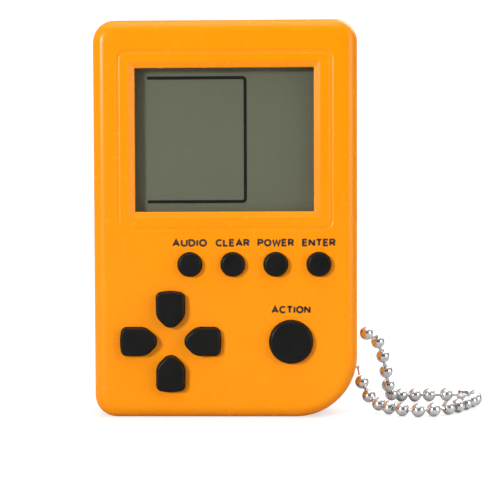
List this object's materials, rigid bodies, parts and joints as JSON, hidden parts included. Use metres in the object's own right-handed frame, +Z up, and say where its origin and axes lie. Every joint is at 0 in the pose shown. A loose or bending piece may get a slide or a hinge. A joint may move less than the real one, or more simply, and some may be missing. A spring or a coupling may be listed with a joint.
{
  "type": "handheld LCD game",
  "caption": "Pocket LCD game with a recessed window, a four-key direction pad, round buttons, a rear battery door and a ball-chain loop from one side.",
  "frame": {"origin": "middle of the case's lower edge, at half its width and half its depth, on the flat lower face", "axes": "+Z up the case, +Y towards the back so the screen faces -Y, +X to the right of a person looking at the screen"},
  "size_m": [0.0657, 0.0209, 0.065],
  "materials": {
    "orange_plastic": "glossy injection-moulded ABS, bright orange",
    "black_plastic": "satin black ABS key caps",
    "clear_window": "clear acrylic window",
    "lcd_glass": "grey-green reflective LCD glass",
    "silver_film": "matt silver reflector film",
    "black_foam": "soft open-cell foam",
    "grey_rubber": "translucent grey silicone",
    "carbon_rubber": "conductive carbon-filled rubber",
    "white_plastic": "white moulded spacer",
    "board": "phenolic board with green lacquer",
    "black_epoxy": "epoxy cap over the bonded chip",
    "capacitor_can": "sleeved aluminium can",
    "resistor_ceramic": "ceramic chips",
    "steel": "zinc-plated steel",
    "cell_can": "nickel-plated steel can",
    "spring_brass": "thin rolled brass",
    "ceramic": "silvered piezo ceramic",
    "chain_chrome": "nickel-plated brass ball chain"
  },
  "bodies": {
    "casing": {"front_shell": "orange_plastic", "back_shell": "orange_plastic", "window_lens": "clear_window", "lcd_panel": "lcd_glass", "lcd_reflector": "silver_film", "foam_pad": "black_foam", "zebra_strip": "grey_rubber", "lcd_frame": "white_plastic", "circuit_board": "board", "chip_blob": "black_epoxy", "capacitor": "capacitor_can", "chip_resistors": "resistor_ceramic", "pcb_screws": "steel", "case_screws": "steel", "keypad_mat": "grey_rubber", "cell_left": "cell_can", "cell_right": "cell_can", "battery_contact_left": "spring_brass", "battery_contact_right": "spring_brass", "sounder_disc": "spring_brass", "sounder_ceramic": "ceramic", "sounder_contacts": "steel", "ball_chain": "chain_chrome", "chain_coupling": "chain_chrome", "chain_end_upper": "chain_chrome", "chain_end_lower": "chain_chrome", "dome_up": "grey_rubber", "dome_left": "grey_rubber", "dome_down": "grey_rubber", "dome_right": "grey_rubber", "dome_sound": "grey_rubber", "dome_reset": "grey_rubber", "dome_power": "grey_rubber", "dome_start": "grey_rubber", "dome_rotate": "grey_rubber"},
    "key_up": {"key_up": "black_plastic", "pill_up": "carbon_rubber"},
    "key_left": {"key_left": "black_plastic", "pill_left": "carbon_rubber"},
    "key_down": {"key_down": "black_plastic", "pill_down": "carbon_rubber"},
    "key_right": {"key_right": "black_plastic", "pill_right": "carbon_rubber"},
    "button_sound": {"button_sound": "black_plastic", "pill_sound": "carbon_rubber"},
    "button_reset": {"button_reset": "black_plastic", "pill_reset": "carbon_rubber"},
    "button_power": {"button_power": "black_plastic", "pill_power": "carbon_rubber"},
    "button_start": {"button_start": "black_plastic", "pill_start": "carbon_rubber"},
    "button_rotate": {"button_rotate": "black_plastic", "pill_rotate": "carbon_rubber"},
    "battery_door": {"battery_door": "orange_plastic", "battery_bridge": "spring_brass"},
    "door_screw": {"door_screw": "steel"}
  },
  "joints": [
    {"name": "press_up", "type": "slide", "parent": "casing", "child": "key_up", "axis": [0, 1, 0], "range_m": [0, 0.0008], "stiffness_N_per_m": 900, "deforming": ["dome_up"]},
    {"name": "press_left", "type": "slide", "parent": "casing", "child": "key_left", "axis": [0, 1, 0], "range_m": [0, 0.0008], "stiffness_N_per_m": 900, "deforming": ["dome_left"]},
    {"name": "press_down", "type": "slide", "parent": "casing", "child": "key_down", "axis": [0, 1, 0], "range_m": [0, 0.0008], "stiffness_N_per_m": 900, "deforming": ["dome_down"]},
    {"name": "press_right", "type": "slide", "parent": "casing", "child": "key_right", "axis": [0, 1, 0], "range_m": [0, 0.0008], "stiffness_N_per_m": 900, "deforming": ["dome_right"]},
    {"name": "press_sound", "type": "slide", "parent": "casing", "child": "button_sound", "axis": [0, 1, 0], "range_m": [0, 0.0008], "stiffness_N_per_m": 900, "deforming": ["dome_sound"]},
    {"name": "press_reset", "type": "slide", "parent": "casing", "child": "button_reset", "axis": [0, 1, 0], "range_m": [0, 0.0008], "stiffness_N_per_m": 900, "deforming": ["dome_reset"]},
    {"name": "press_power", "type": "slide", "parent": "casing", "child": "button_power", "axis": [0, 1, 0], "range_m": [0, 0.0008], "stiffness_N_per_m": 900, "deforming": ["dome_power"]},
    {"name": "press_start", "type": "slide", "parent": "casing", "child": "button_start", "axis": [0, 1, 0], "range_m": [0, 0.0008], "stiffness_N_per_m": 900, "deforming": ["dome_start"]},
    {"name": "press_rotate", "type": "slide", "parent": "casing", "child": "button_rotate", "axis": [0, 1, 0], "range_m": [0, 0.0008], "stiffness_N_per_m": 900, "deforming": ["dome_rotate"]},
    {"name": "door_lift", "type": "slide", "parent": "casing", "child": "battery_door", "axis": [0, 1, 0], "range_m": [0, 0.008]},
    {"name": "door_screw_turn", "type": "hinge", "parent": "battery_door", "child": "door_screw", "pos_m": [0, 0.0062, 0.0324], "axis": [0, 1, 0], "continuous": true}
  ]
}
